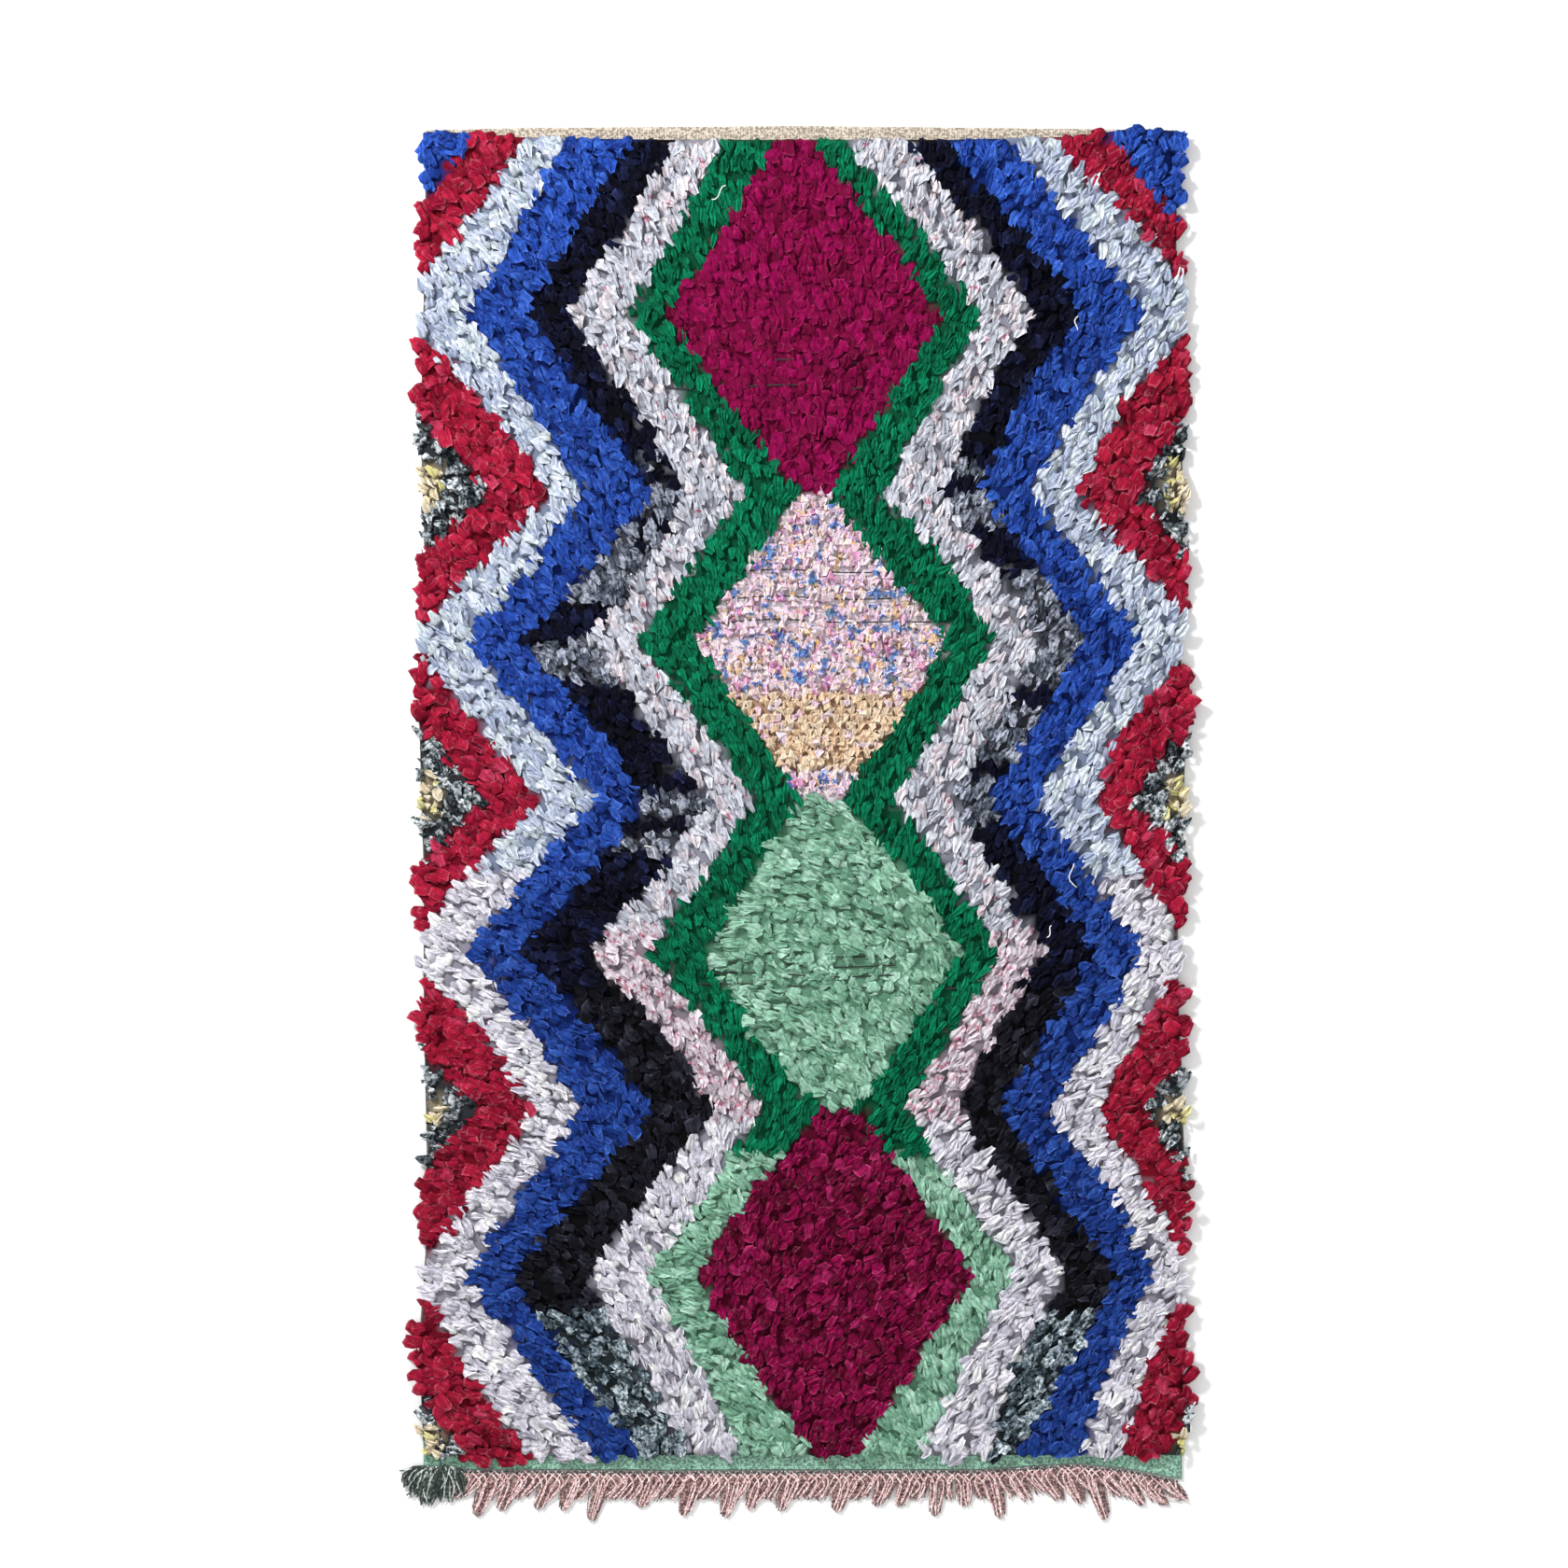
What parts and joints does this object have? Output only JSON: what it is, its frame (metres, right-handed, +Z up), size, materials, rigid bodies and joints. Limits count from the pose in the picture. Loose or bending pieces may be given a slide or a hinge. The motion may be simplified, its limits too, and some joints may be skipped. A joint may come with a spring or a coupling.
{
  "type": "berber rug",
  "caption": "Flat shaggy rag rug with lozenges and zigzag bands, a woven end, a twined line and a short looped warp fringe.",
  "frame": {"origin": "middle of the rug's underside, on the floor", "axes": "+Z up out of the pile, +Y along the rug's length from the fringe towards the cream woven end, +X to the right as seen from above"},
  "size_m": [1.1266, 1.9793, 0.0239],
  "materials": {
    "ground_weave": "plain flat weave, cream cotton with a green end",
    "rag_pile": "torn jersey and cotton rags in many colours, knotted and shaggy",
    "end_twining": "dark wool yarn, twined",
    "warp_fringe": "plied pale pink and taupe warp yarn",
    "corner_tuft": "dark green, black and white weft ends"
  },
  "bodies": {
    "root": {"ground_weave": "ground_weave", "rag_pile": "rag_pile", "end_twining": "end_twining", "warp_fringe": "warp_fringe", "corner_tuft": "corner_tuft"}
  },
  "joints": []
}
